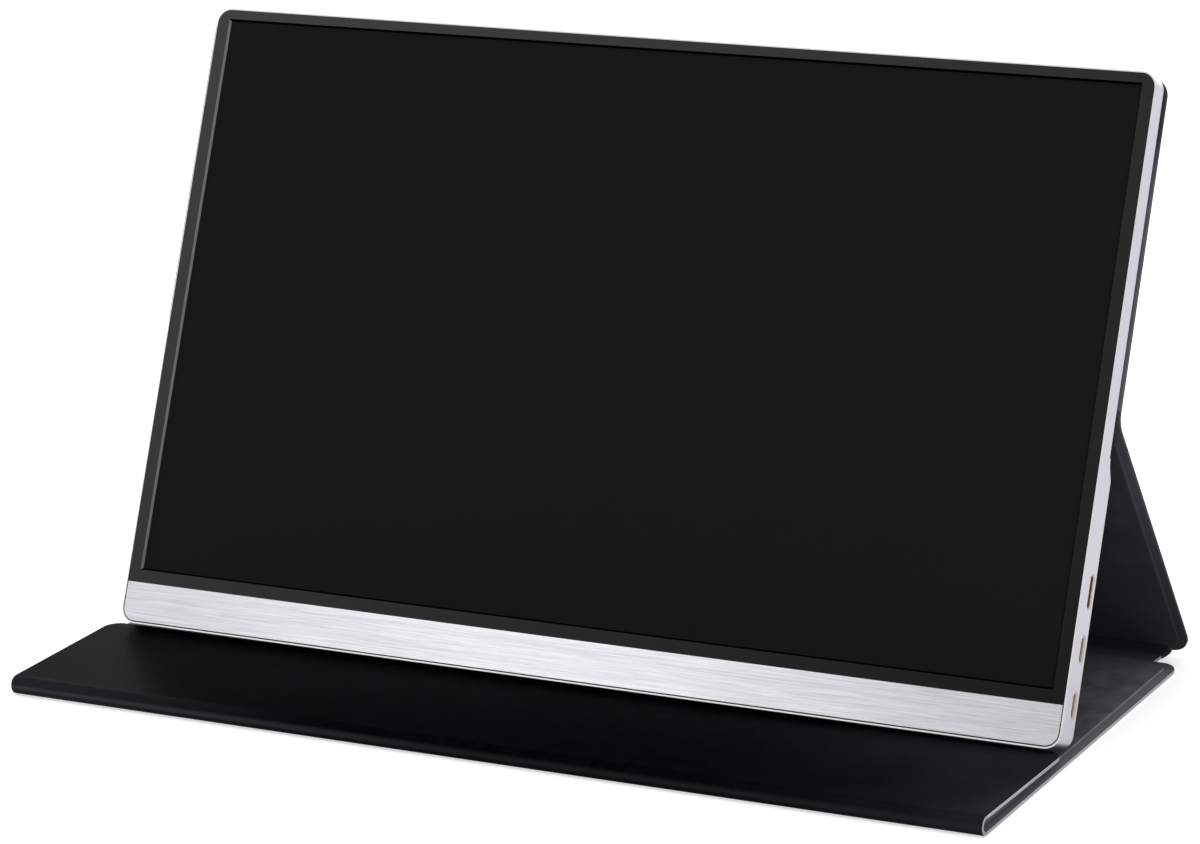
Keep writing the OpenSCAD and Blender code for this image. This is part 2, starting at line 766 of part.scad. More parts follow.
module speaker_left() color(plastic_black) in_monitor() speaker(-speaker_x);

module speaker_right() color(plastic_black) in_monitor() speaker(speaker_x);

// Insulated leads from each speaker to the main board's plug sockets
module speaker_wires() color(wire_red) in_monitor() {
  wire_r = 0.5;
  wire_pitch = 1.3;
  wire_start = 8;
  wire_step = 2;
  for (side = [-1, 1]) {
    for (i = [0, 1]) {
      wire_v = speaker_v + speaker_h / 2 + wire_r + (side < 0 ? 2 * wire_pitch + 0.4 : 0) + i * wire_pitch;
      x0 = side * speaker_x - wire_start - i * wire_step;
      sideways(x0, main_x0 - 0.3) translate([wire_v, pcb_back + 1]) circle(wire_r);
      translate([x0, pcb_back + 1, speaker_v + speaker_h / 2]) {
        cylinder(r = wire_r, h = wire_v - speaker_v - speaker_h / 2);
      }
    }
  }
}

// Magnets inside the thin upper part of the housing
module hold_magnets() color(steel) in_monitor() {
  for (rise = magnet_rise) {
    through(upper_room - magnet_t, upper_room) translate([0, back_v0]) magnet_row(rise, 0);
  }
}

// ---- Cover: panel on the monitor's back ----

back_raised_end = back_len - edge_margin;
fold_seam = 0.05;

module back_skin() color(leather_black) on_back() {
  linear_extrude(skin_t) panel_outline(0, back_len, 0, back_corner_r, 0);
}

module back_board() color(board_grey) on_back() difference() {
  panel_board(fold_margin, back_raised_end, back_corner_r - edge_margin);
  for (rise = magnet_rise) {
    translate([0, 0, skin_t - cut]) linear_extrude(board_t + 2 * cut) magnet_row(rise, magnet_play);
  }
}

module back_magnets() color(steel) on_back() {
  for (rise = magnet_rise) {
    translate([0, 0, skin_t]) linear_extrude(board_t) magnet_row(rise, 0);
  }
}

module back_lining() color(lining_grey) on_back() {
  panel_lining(fold_margin, back_raised_end, back_corner_r - edge_margin) {
    panel_outline(0, back_len, 0, back_corner_r, 0);
  }
}

// The fold where the cover leaves the monitor curves round the skin's side
module back_fold_sheet(r0, r1) {
  seam_angle = asin(fold_seam / back_fold_r);
  on_strut() translate([cover_shift, strut_len, -back_fold_r]) across(cover_w) {
    ring_part(r0, r1, 90 - fold_turn + seam_angle, 90);
  }
}

module back_fold_skin() color(leather_black) back_fold_sheet(back_fold_r, back_fold_r + skin_t);

module back_fold_lining() color(lining_grey) {
  back_fold_sheet(back_fold_r + skin_t, back_fold_r + sheet_t);
}

// ---- Cover: strut ----

strut_raised_end = strut_len - fold_margin;

// The strut's outline stops at the bend between its two lower corners
module strut_outline() {
  difference() {
    panel_outline(-tab_reach, strut_len, strut_corner_r, 0, 0);
    translate([cover_shift - spine_w / 2, -tab_reach - cut]) square([spine_w, tab_reach + cut]);
  }
}

module strut_skin() color(leather_black) on_strut() linear_extrude(skin_t) strut_outline();

module strut_board() color(board_grey) on_strut() {
  panel_board(fold_margin, strut_raised_end, strut_corner_r - edge_margin);
}

module strut_lining() color(lining_grey) on_strut() {
  panel_lining(fold_margin, strut_raised_end, strut_corner_r - edge_margin) strut_outline();
}

// ---- Cover: spine ----

module spine_sheet(z0, z1) {
  translate([cover_shift, 0, 0]) across(spine_w) {
    translate([base_y1, z0]) square([spine_y - base_y1 + 0.01, z1 - z0]);
    translate([spine_y, spine_r]) ring_part(spine_r - z1, spine_r - z0, -90, strut_turn - 90);
  }
}

module spine_fold_skin() color(leather_black) spine_sheet(0, skin_t);

module spine_fold_lining() color(lining_grey) spine_sheet(skin_t, sheet_t);

// ---- Cover: base ----

base_raised_end = base_y1 - rear_margin;

module base_outline() {
  panel_outline(base_y0, base_y1, 0, base_corner_r, 0);
}

module base_skin() color(leather_black) linear_extrude(skin_t) base_outline();

module base_board() color(board_grey) {
  panel_board(base_y0 + fold_margin, base_raised_end, base_corner_r - edge_margin);
}

module base_lining() color(lining_grey) {
  panel_lining(base_y0 + fold_margin, base_raised_end, base_corner_r - edge_margin) base_outline();
}

// ---- Cover: front fold and flap ----

module front_fold_sheet(z0, z1) {
  translate([cover_shift, base_y0, fold_r]) across(cover_w) {
    ring_part(fold_r - z1, fold_r - z0, 270 - flap_turn, 270);
    rotate(-flap_turn) translate([-hinge_gap, z0 - fold_r]) square([hinge_gap, z1 - z0]);
  }
}

module front_fold_skin() color(leather_black) front_fold_sheet(0, skin_t);

module front_fold_lining() color(lining_grey) front_fold_sheet(skin_t, sheet_t);

flap_raised_start = -flap_len + edge_margin;
flap_raised_end = -fold_margin - hinge_gap;
flap_magnet_y = -flap_len + 12;

module flap_outline() {
  panel_outline(-flap_len, -hinge_gap, flap_corner_r, 0, 0);
}

module flap_skin() color(leather_black) on_flap() linear_extrude(skin_t) flap_outline();

module flap_board() color(board_grey) on_flap() difference() {
  panel_board(flap_raised_start, flap_raised_end, flap_corner_r - edge_margin);
  translate([0, 0, skin_t - cut]) linear_extrude(board_t + 2 * cut) magnet_row(flap_magnet_y, magnet_play);
}

module flap_magnets() color(steel) on_flap() {
  translate([0, 0, skin_t]) linear_extrude(board_t) magnet_row(flap_magnet_y, 0);
}

module flap_lining() color(lining_grey) on_flap() {
  panel_lining(flap_raised_start, flap_raised_end, flap_corner_r - edge_margin) flap_outline();
}

rear_shell();
front_frame();
chin_tape();
chin_plate();
lcd_panel();
light_guide();
backlight_pan();
lcd_driver_board();
panel_pads();
panel_cable();
main_board();
board_chips();
board_screws();
mini_hdmi_socket();
mini_hdmi_insert();
usb_c_socket_upper();
usb_c_socket_lower();
usb_c_inserts();
button_board();
button_cable();
audio_jack();
power_switch();
power_button();
jog_switch();
jog_wheel();
speaker_left();
speaker_right();
speaker_wires();
hold_magnets();
back_skin();
back_board();
back_magnets();
back_lining();
back_fold_skin();
back_fold_lining();
strut_skin();
strut_board();
strut_lining();
spine_fold_skin();
spine_fold_lining();
base_skin();
base_board();
base_lining();
front_fold_skin();
front_fold_lining();
flap_skin();
flap_board();
flap_magnets();
flap_lining();
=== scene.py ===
import json
import math
import bpy
import bmesh
from mathutils import Matrix, Vector


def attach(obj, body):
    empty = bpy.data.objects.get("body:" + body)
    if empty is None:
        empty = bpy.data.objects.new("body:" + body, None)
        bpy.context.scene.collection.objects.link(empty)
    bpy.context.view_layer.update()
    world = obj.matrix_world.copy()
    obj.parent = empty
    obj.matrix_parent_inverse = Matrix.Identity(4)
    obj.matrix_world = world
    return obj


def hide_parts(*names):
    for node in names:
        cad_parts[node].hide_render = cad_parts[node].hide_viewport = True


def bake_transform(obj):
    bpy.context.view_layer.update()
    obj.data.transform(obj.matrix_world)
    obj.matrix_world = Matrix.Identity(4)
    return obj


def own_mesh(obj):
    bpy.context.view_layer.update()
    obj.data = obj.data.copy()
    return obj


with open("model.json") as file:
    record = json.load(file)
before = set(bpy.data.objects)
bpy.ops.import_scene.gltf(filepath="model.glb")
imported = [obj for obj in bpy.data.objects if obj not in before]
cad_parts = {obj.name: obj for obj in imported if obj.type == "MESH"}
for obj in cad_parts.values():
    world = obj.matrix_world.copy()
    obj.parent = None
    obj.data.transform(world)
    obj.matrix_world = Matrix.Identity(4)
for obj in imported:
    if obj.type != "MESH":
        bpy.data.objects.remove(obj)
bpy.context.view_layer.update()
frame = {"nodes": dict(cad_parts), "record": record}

mm = 0.001
tiny = 1e-6  # two points this close, in metres, are one

monitor = {
    "width": 356 * mm,
    "height": 217.6 * mm,
    "lean": math.radians(25.8),  # how far it leans back
    "foot": 7.1015 * mm,  # height of its front bottom edge above the table
}
lean, foot = monitor["lean"], monitor["foot"]
faceAxis = (0, math.cos(lean), -math.sin(lean))  # from the monitor's face to its back
faceNormal = tuple(-part for part in faceAxis)
monitorPlace = Matrix.Translation((0, 0, foot)) @ Matrix.Rotation(-lean, 4, "X")

cover = {
    "left": -183.6 * mm,
    "right": 178.4 * mm,
    "skin": 0.6 * mm,
    "board": 1.2 * mm,
    "lining": 0.6 * mm,
    "edgeMargin": 2.6 * mm,  # from the cut edge to the raised part
    "foldMargin": 1.2 * mm,  # from a fold to the raised part
    "rearMargin": 5 * mm,  # from the rear edge of the base to its raised part
    "frontFold": (-54.9 * mm, 3.2 * mm),  # place along Y, outer radius
    "spine": (101.9306 * mm, 3.5 * mm),
    "spineInset": 9.8 * mm,  # depth of the notch at each end of the spine
    "baseEnd": 96.3306 * mm,
    "tabReach": 2.6 * mm,  # how far the strut's corners reach past the spine
    "strutLength": 101.8117 * mm,
    "strutTurn": math.radians(118.5),
    "backFoldRadius": 7.444 * mm,
    "backFoldTurn": math.radians(54.3),
    "backDepth": 9.6 * mm,
    "backStart": 109.42 * mm,
    "backLength": 107.7 * mm,
    "flapLength": 55.0 * mm,
    "flapTurn": math.radians(181.3023),
    "flapBorder": 3.4 * mm,  # soft border that tucks in under the chin
    "hingeGap": 0.3 * mm,
}
print("frame read:", len(frame["nodes"]), "nodes")


# the finishes of the monitor and its cover

features = {  # how many to a metre, in each pattern
    "brushing": 3000,
    "brushedCloud": 300,
    "satinGrain": 4000,
    "satinCloud": 18,
    "plasticGrain": 2500,
    "plasticCloud": 25,
    "pebble": 1500,
    "leatherMottle": 260,
    "leatherWave": 22,
    "leatherCloud": 14,
    "nap": 1800,
    "napCloud": 110,
}
lipDepth = (0.28 * mm, 0.36 * mm)  # the housing's cut lip ends between these depths
paintedSheenEnd = (40 * mm, 190 * mm)  # painted sheen: the leather grows lighter from the first to the second, along X
sideMargin = (3.4 * mm, 2.2 * mm)  # the lining's flat margin starts between these, from its sides
# a painted highlight on the front fold's leather, and painted light at its left end
foldShine = {
    "height": 3.3 * mm,
    "halfWidth": 1.9 * mm,
    "fade": (-170 * mm, 0),  # along X
    "faded": 0.3,
    "least": 0.4,  # painted light at the left end, all over
    "leastEnds": (-170 * mm, -60 * mm),
}


def shade(level):
    value = level / 255  # a grey as the screen shows it, made linear
    return value / 12.92 if value <= 0.04045 else ((value + 0.055) / 1.055) ** 2.4


def tone(red, green, blue):
    return (shade(red), shade(green), shade(blue))


def newMaterial(name, color, roughness, metallic=0.0, specular=0.5):
    material = bpy.data.materials.new(name)
    material.use_nodes = True
    shader = material.node_tree.nodes["Principled BSDF"]
    shader.inputs["Base Color"].default_value = (*color, 1)
    shader.inputs["Roughness"].default_value = roughness
    shader.inputs["Metallic"].default_value = metallic
    shader.inputs["Specular IOR Level"].default_value = specular
    return material, material.node_tree.nodes, material.node_tree.links, shader


def objectPoint(nodes, links, scale=(1, 1, 1)):
    place = nodes.new("ShaderNodeTexCoord")
    mapping = nodes.new("ShaderNodeMapping")
    mapping.inputs["Scale"].default_value = scale
    links.new(place.outputs["Object"], mapping.inputs["Vector"])
    return mapping.outputs["Vector"]


def noise(nodes, links, vector, scale, detail=2.0, rough=0.5):
    texture = nodes.new("ShaderNodeTexNoise")
    texture.inputs["Scale"].default_value = scale
    texture.inputs["Detail"].default_value = detail
    texture.inputs["Roughness"].default_value = rough
    links.new(vector, texture.inputs["Vector"])
    return texture.outputs["Fac"]


def spread(nodes, links, factor, low, high, start=0.0, end=1.0):
    reach = nodes.new("ShaderNodeMapRange")
    reach.inputs["From Min"].default_value = start
    reach.inputs["From Max"].default_value = end
    reach.inputs["To Min"].default_value = low
    reach.inputs["To Max"].default_value = high
    links.new(factor, reach.inputs["Value"])
    return reach.outputs["Result"]


def mixColor(nodes, links, factor, first, second):
    # each colour is a tone, or a socket that gives one
    mixer = nodes.new("ShaderNodeMix")
    mixer.data_type = "RGBA"
    for side, color in (("A", first), ("B", second)):
        if isinstance(color, tuple):
            mixer.inputs[side].default_value = (*color, 1)
        else:
            links.new(color, mixer.inputs[side])
    links.new(factor, mixer.inputs["Factor"])
    return mixer.outputs["Result"]


def maths(nodes, links, operation, *values):
    step = nodes.new("ShaderNodeMath")
    step.operation = operation
    for value, socket in zip(values, step.inputs):
        links.new(value, socket)
    return step.outputs["Value"]


def addBump(nodes, links, shader, height, strength, distance, under=None):
    bump = nodes.new("ShaderNodeBump")
    bump.inputs["Strength"].default_value = strength
    bump.inputs["Distance"].default_value = distance
    links.new(height, bump.inputs["Height"])
    if under:
        links.new(under, bump.inputs["Normal"])
    links.new(bump.outputs["Normal"], shader.inputs["Normal"])
    return bump.outputs["Normal"]


def measure(nodes, links, vector, direction, origin=(0, 0, 0)):
    # how far the vector reaches along the direction, from the origin
    shift = nodes.new("ShaderNodeVectorMath")
    shift.operation = "SUBTRACT"
    shift.inputs[1].default_value = origin
    links.new(vector, shift.inputs[0])
    along = nodes.new("ShaderNodeVectorMath")
    along.operation = "DOT_PRODUCT"
    along.inputs[1].default_value = direction
    links.new(shift.outputs["Vector"], along.inputs[0])
    return along.outputs["Value"]


def brushedMetal(name, light, dark, roughness, streak):
    material, nodes, links, shader = newMaterial(name, light, roughness, metallic=1.0)
    along = objectPoint(nodes, links, (streak, 1, 1))  # streaks run along X
    fine = noise(nodes, links, along, features["brushing"], detail=4, rough=0.75)
    broad = noise(nodes, links, along, features["brushedCloud"], detail=2)
    strokes = spread(nodes, links, fine, 0, 1, 0.34, 0.6)
    links.new(mixColor(nodes, links, strokes, dark, light), shader.inputs["Base Color"])
    links.new(spread(nodes, links, broad, roughness * 0.8, roughness * 1.2), shader.inputs["Roughness"])
    addBump(nodes, links, shader, fine, 0.3, 0.02 * mm)
    return material


def satinMetal(name, light, dark, roughness):
    material, nodes, links, shader = newMaterial(name, light, roughness, metallic=1.0)
    point = objectPoint(nodes, links)
    grain = noise(nodes, links, point, features["satinGrain"], detail=2)
    cloud = noise(nodes, links, point, features["satinCloud"], detail=2)
    links.new(mixColor(nodes, links, cloud, dark, light), shader.inputs["Base Color"])
    links.new(spread(nodes, links, grain, roughness * 0.85, roughness * 1.15), shader.inputs["Roughness"])
    addBump(nodes, links, shader, grain, 0.15, 0.01 * mm)
    return material


def lippedMetal(name, light, dark, roughness, lip):
    # satin metal whose cut front lip is painted white as a painted highlight, and shaded with the normal of
    # the face it frames
    material = satinMetal(name, light, dark, roughness)
    nodes, links = material.node_tree.nodes, material.node_tree.links
    shader = nodes["Principled BSDF"]
    depth = measure(nodes, links, objectPoint(nodes, links), faceAxis, (0, 0, foot))
    front = spread(nodes, links, depth, 1, 0, *lipDepth)
    plain = shader.inputs["Base Color"].links[0].from_socket
    links.new(mixColor(nodes, links, front, plain, lip), shader.inputs["Base Color"])
    turned = nodes.new("ShaderNodeVectorTransform")
    turned.vector_type = "NORMAL"
    turned.convert_from, turned.convert_to = "OBJECT", "WORLD"
    turned.inputs["Vector"].default_value = faceNormal
    normals = nodes.new("ShaderNodeMix")
    normals.data_type = "VECTOR"
    links.new(front, normals.inputs["Factor"])
    links.new(shader.inputs["Normal"].links[0].from_socket, normals.inputs["A"])
    links.new(turned.outputs["Vector"], normals.inputs["B"])
    links.new(normals.outputs["Result"], shader.inputs["Normal"])
    return material


def portMetal(name, mouth, middle, shadeTone, reach):
    # plated shell: bright at its mouth, with painted shade that darkens it further into the housing
    material = satinMetal(name, mouth, mouth, 0.35)
    nodes, links = material.node_tree.nodes, material.node_tree.links
    shader = nodes["Principled BSDF"]
    inward = measure(nodes, links, objectPoint(nodes, links), (-1, 0, 0), (monitor["width"] / 2, 0, 0))
    ramp = nodes.new("ShaderNodeValToRGB")
    stops = ((0.0, mouth), (0.14, mouth), (0.2, middle), (0.3, middle), (0.44, shadeTone))
    while len(ramp.color_ramp.elements) < len(stops):
        ramp.color_ramp.elements.new(0.5)
    for element, (spot, color) in zip(ramp.color_ramp.elements, stops):
        element.position = spot
        element.color = (*color, 1)
    links.new(spread(nodes, links, inward, 0, 1, 0, reach), ramp.inputs["Fac"])
    links.new(ramp.outputs["Color"], shader.inputs["Base Color"])
    shader.inputs["Metallic"].default_value = 0.0
    return material


def mattePlastic(name, light, dark, roughness, grainScale=features["plasticGrain"], specular=0.3):
    material, nodes, links, shader = newMaterial(name, light, roughness, specular=specular)
    point = objectPoint(nodes, links)
    grain = noise(nodes, links, point, grainScale, detail=3)
    cloud = noise(nodes, links, point, features["plasticCloud"], detail=2)
    links.new(mixColor(nodes, links, cloud, dark, light), shader.inputs["Base Color"])
    links.new(spread(nodes, links, grain, roughness * 0.9, roughness * 1.1), shader.inputs["Roughness"])
    addBump(nodes, links, shader, grain, 0.2, 0.015 * mm)
    return material


def bevelledFrame(name, light, dark, roughness, specular, lit, unlit):
    # moulded frame: painted light and shade on the sloping walls of the screen opening, lit on the left and
    # dark elsewhere
    material = mattePlastic(name, light, dark, roughness, specular=specular)
    nodes, links = material.node_tree.nodes, material.node_tree.links
    shader = nodes["Principled BSDF"]
    place = nodes.new("ShaderNodeTexCoord")
    toward = measure(nodes, links, place.outputs["Normal"], faceNormal)
    sideways = measure(nodes, links, place.outputs["Normal"], (1, 0, 0))
    slope = spread(nodes, links, toward, 1, 0, 0.9, 0.98)
    wall = mixColor(nodes, links, spread(nodes, links, sideways, 0, 1, 0.5, 0.7), unlit, lit)
    leftward, upward = 0.64 / monitor["width"], 0.36 / monitor["height"]
    across = (-leftward, upward * math.sin(lean), upward * math.cos(lean))
    fade = measure(nodes, links, objectPoint(nodes, links), across, (monitor["width"] / 2, 0, foot))
    plain = mixColor(nodes, links, fade, dark, light)  # painted light, lighter towards the upper left
    links.new(mixColor(nodes, links, slope, plain, wall), shader.inputs["Base Color"])
    links.new(spread(nodes, links, slope, specular, 0), shader.inputs["Specular IOR Level"])
    return material


def smoothLeather(name, light, dark, roughness, specular, paintedSheenTone, highlightTone=None):
    # coated fabric: fine pebbled grain, uneven colour, and a patchy painted sheen that lightens its right end
    material, nodes, links, shader = newMaterial(name, light, roughness, specular=specular)
    point = objectPoint(nodes, links)
    pebble = nodes.new("ShaderNodeTexVoronoi")
    pebble.inputs["Scale"].default_value = features["pebble"]
    links.new(point, pebble.inputs["Vector"])
    cloud = noise(nodes, links, point, features["leatherCloud"], detail=4, rough=0.6)
    mottle = noise(nodes, links, point, features["leatherMottle"], detail=5, rough=0.7)
    wave = noise(nodes, links, point, features["leatherWave"], detail=2, rough=0.5)
    across = measure(nodes, links, point, (1, 0, 0))
    end = spread(nodes, links, across, 0, 1, *paintedSheenEnd)
    end = maths(nodes, links, "MULTIPLY", end, maths(nodes, links, "MULTIPLY", end, end))
    paintedSheen = maths(nodes, links, "MULTIPLY", end, spread(nodes, links, cloud, 0.2, 1, 0.3, 0.65))
    color = mixColor(nodes, links, spread(nodes, links, mottle, 0, 1, 0.3, 0.7), dark, light)
    color = mixColor(nodes, links, paintedSheen, color, paintedSheenTone)
    if highlightTone:
        # a painted highlight along the fold, fading towards the right, and painted light over its whole left
        # end
        rise = measure(nodes, links, point, (0, 0, 1 / foldShine["halfWidth"]), (0, 0, foldShine["height"]))
        lift = nodes.new("ShaderNodeMapRange")
        lift.interpolation_type = "SMOOTHSTEP"
        lift.inputs["To Min"].default_value = 1
        lift.inputs["To Max"].default_value = 0
        links.new(maths(nodes, links, "ABSOLUTE", rise), lift.inputs["Value"])
        fading = spread(nodes, links, across, 1, foldShine["faded"], *foldShine["fade"])
        shining = maths(nodes, links, "MULTIPLY", lift.outputs["Result"], fading)
        least = spread(nodes, links, across, foldShine["least"], 0, *foldShine["leastEnds"])
        color = mixColor(nodes, links, maths(nodes, links, "MAXIMUM", shining, least), color, highlightTone)
    links.new(color, shader.inputs["Base Color"])
    links.new(spread(nodes, links, cloud, roughness * 0.85, roughness * 1.15), shader.inputs["Roughness"])
    low = addBump(nodes, links, shader, wave, 0.25, 0.4 * mm)
    addBump(nodes, links, shader, pebble.outputs["Distance"], 0.5, 0.05 * mm, under=low)
    return material


def brushedFabric(name, light, dark, roughness, shadeTone=None, start=0.0, end=1.0, margin=None):
    # microfibre: short nap with soft clouds where it has been stroked, with painted shade that darkens it from
    # start to end, and lighter on the flat margins at its sides
    material, nodes, links, shader = newMaterial(name, light, roughness, specular=0.08)
    shader.inputs["Sheen Weight"].default_value = 0.12
    shader.inputs["Sheen Roughness"].default_value = 0.6
    point = objectPoint(nodes, links)
    nap = noise(nodes, links, point, features["nap"], detail=4, rough=0.7)
    cloud = noise(nodes, links, point, features["napCloud"], detail=5, rough=0.62)
    color = mixColor(nodes, links, spread(nodes, links, cloud, 0, 1, 0.3, 0.7), dark, light)
    if margin:
        centre, reach = (cover["left"] + cover["right"]) / 2, (cover["right"] - cover["left"]) / 2
        off = maths(nodes, links, "ABSOLUTE", measure(nodes, links, point, (1, 0, 0), (centre, 0, 0)))
        beside = spread(nodes, links, off, 0, 1, *(reach - inset for inset in sideMargin))
        color = mixColor(nodes, links, beside, color, margin)
    if shadeTone:
        rise = spread(nodes, links, measure(nodes, links, point, (0, 1, 0)), 0, 1, start, end)
        color = mixColor(nodes, links, rise, color, shadeTone)
    links.new(color, shader.inputs["Base Color"])
    links.new(spread(nodes, links, nap, roughness * 0.92, roughness * 1.08), shader.inputs["Roughness"])
    addBump(nodes, links, shader, nap, 0.35, 0.05 * mm)
    return material


finishes = {
    # the housing's cut lip is painted white, a painted highlight
    "housing": lippedMetal("satinAluminium", tone(191, 191, 199), tone(183, 183, 191), 0.34, (1, 1, 1)),
    "chin_metal": brushedMetal("brushedAluminium", tone(240, 240, 246), tone(210, 210, 218), 0.23, 0.012),
    # the bezel's face and opening walls carry painted light and shade
    "bezel": bevelledFrame("bezelGrey", tone(67, 67, 67), tone(22, 22, 22), 0.45, 0.1,
                           tone(134, 134, 134), tone(2, 2, 2)),
    "screen": mattePlastic("darkScreen", tone(22, 22, 24), tone(21, 21, 23), 0.6, specular=0.06),
    "film": mattePlastic("whiteFilm", tone(235, 235, 232), tone(225, 225, 222), 0.5),
    "sheet_steel": satinMetal("sheetSteel", tone(190, 190, 194), tone(170, 170, 176), 0.35),
    "magnet": satinMetal("nickelPlate", tone(200, 200, 202), tone(186, 184, 182), 0.22),
    "circuit": mattePlastic("solderResist", tone(18, 84, 50), tone(12, 66, 40), 0.4),
    "dark_plastic": mattePlastic("blackPlastic", tone(30, 30, 31), tone(24, 24, 25), 0.45),
    "foam": mattePlastic("greyFoam", tone(92, 92, 96), tone(78, 78, 82), 0.9, 900),
    "wire": mattePlastic("redInsulation", tone(160, 30, 30), tone(140, 24, 24), 0.5),
    # the port shells darken inward with painted shade
    "port_metal": portMetal("portShell", tone(252, 248, 238), tone(228, 208, 184),
                            tone(104, 78, 68), 2.4 * mm),
    "port_plastic": mattePlastic("portInsert", tone(206, 172, 142), tone(184, 148, 118), 0.5),
    # its last tone is a painted sheen at the right end
    "cover_skin": smoothLeather("blackSkin", tone(10, 10, 13), tone(1, 1, 2), 0.5, 0.009,
                                tone(54, 53, 60)),
    # the lining of the other panels and the front fold: a lighter copy of the fabric as painted light, with
    # painted shade from 86 to 94 mm along Y
    "cover_lining": brushedFabric("greyLining", tone(102, 101, 109), tone(54, 53, 59), 0.85,
                                  tone(66, 65, 72), 86 * mm, 94 * mm, margin=tone(108, 107, 115)),
    "cover_board": mattePlastic("stiffBoard", tone(140, 134, 126), tone(120, 114, 106), 0.85, 700),
}
# the front fold's leather, with a painted highlight along the fold and a painted sheen at the right end
foldSkin = smoothLeather("foldSkin", tone(10, 10, 13), tone(1, 1, 2), 0.5, 0.009,
                         tone(46, 45, 51), highlightTone=tone(62, 61, 67))
# its last tone is a painted sheen at the right end
outerSkin = smoothLeather("outerSkin", tone(22, 22, 26), tone(13, 13, 16), 0.45, 0.12, tone(34, 33, 38))
# the strut's lining: a darker copy of the fabric as painted shade, darker still towards its foot
strutLining = brushedFabric("strutLining", tone(54, 52, 62), tone(32, 30, 39), 0.85,
                            tone(28, 26, 34), 66 * mm, 106 * mm, margin=tone(74, 73, 80))
# the spine's lining: a darker copy of the fabric as painted shade, darker still from 95 to 100 mm along Y
spineLining = brushedFabric("spineLining", tone(80, 79, 86), tone(50, 49, 55), 0.85,
                            tone(40, 38, 47), 95 * mm, 100 * mm)
skinCut = mattePlastic("skinCut", tone(246, 246, 248), tone(232, 232, 234), 0.7, 1200)
liningCut = mattePlastic("liningCut", tone(238, 238, 241), tone(214, 214, 218), 0.7, 1200)
# painted shade in the grooves beside the cut rims and between the layers
grooveShade = mattePlastic("grooveShade", tone(40, 40, 44), tone(28, 28, 32), 0.8, 1200)
# painted highlight along the top edge of the lining's raised part
creaseHighlight = brushedFabric("creaseLining", tone(160, 159, 165), tone(126, 125, 131), 0.8)
# painted shade on the bezel frame's rounded edges
bezelEdgeShade = mattePlastic("bezelEdge", tone(9, 9, 9), tone(5, 5, 5), 0.5, specular=0.04)
# the chin plate's rounded edges: their bevel catches light, and their near-white tone is a painted highlight
chinEdgeHighlight = satinMetal("chinEdgeHighlight", tone(252, 252, 255), tone(244, 244, 250), 0.25)
for entry in frame["record"]["subparts"]:
    node = frame["nodes"][entry["node"]]
    node.data.materials.clear()
    node.data.materials.append(finishes[entry["material_slot"]])
# the wide port's shell darkens inward with painted shade
hdmiShell = portMetal("widePortShell", tone(255, 252, 246), tone(168, 122, 92),
                      tone(124, 86, 62), 1.6 * mm)
frame["nodes"]["mini_hdmi_socket"].data.materials[0] = hdmiShell
print("materials made:", len(finishes))


rounded = {  # width of the rounding, and what its faces are made of where that differs
    # painted shade on the rounded edges
    "front_frame": (0.14 * mm, bezelEdgeShade),
    # painted highlight on the rounded edges
    "chin_plate": (0.16 * mm, chinEdgeHighlight),
    "power_button": (0.15 * mm, None),
    "jog_wheel": (0.1 * mm, None),
    "audio_jack": (0.12 * mm, None),
}
for name, (width, finish) in rounded.items():
    piece = frame["nodes"][name]
    weld = piece.modifiers.new("weld", "WELD")
    weld.merge_threshold = 0.001 * mm  # the node comes as loose triangles
    bevel = piece.modifiers.new("rounding", "BEVEL")
    bevel.width = width
    bevel.segments = 2
    bevel.limit_method = "ANGLE"
    bevel.angle_limit = math.radians(35)
    if finish:
        piece.data.materials.append(finish)
        bevel.material = 1
print("edges rounded:", len(rounded))


def nothingSelected():
    if bpy.context.object and bpy.context.object.mode != "OBJECT":
        bpy.ops.object.mode_set(mode="OBJECT")
    bpy.ops.object.select_all(action="DESELECT")


def only(piece):
    nothingSelected()
    piece.select_set(True)
    bpy.context.view_layer.objects.active = piece


def pick(piece, kind, test):
    # in edit mode, selects the points, edges or faces that pass the test
    bpy.ops.mesh.select_mode(type=kind)
    bpy.ops.mesh.select_all(action="DESELECT")
    shape = bmesh.from_edit_mesh(piece.data)
    parts = {"VERT": shape.verts, "EDGE": shape.edges, "FACE": shape.faces}[kind]
    for part in parts:
        if test(part):
            part.select_set(True)
    shape.select_flush_mode()
    bmesh.update_edit_mesh(piece.data)


def middle(edge):
    return (edge.verts[0].co + edge.verts[1].co) / 2


def plate(name, left, right, near, far, low, high, nearRadius=0.0, farRadius=0.0):
    # a flat plate with rounded corners at its near and far ends, seen from above
    nothingSelected()
    bpy.ops.mesh.primitive_plane_add(size=1, location=((left + right) / 2, (near + far) / 2, low))
    piece = bpy.context.object
    piece.name = name
    piece.scale = (right - left, far - near, 1)
    bpy.ops.object.transform_apply(location=True, rotation=True, scale=True)
    bpy.ops.object.mode_set(mode="EDIT")
    for end, radius in ((near, nearRadius), (far, farRadius)):
        if radius > 0:
            pick(piece, "VERT", lambda v: abs(v.co.y - end) < tiny
                 and min(abs(v.co.x - side) for side in (left, right)) < tiny)
            bpy.ops.mesh.bevel(offset=radius, offset_type="OFFSET", segments=10, affect="VERTICES")
    bpy.ops.mesh.select_all(action="SELECT")
    bpy.ops.mesh.extrude_region_move(TRANSFORM_OT_translate={"value": (0, 0, high - low)})
    bpy.ops.mesh.select_all(action="SELECT")
    bpy.ops.mesh.normals_make_consistent(inside=False)
    bpy.ops.object.mode_set(mode="OBJECT")
    return piece


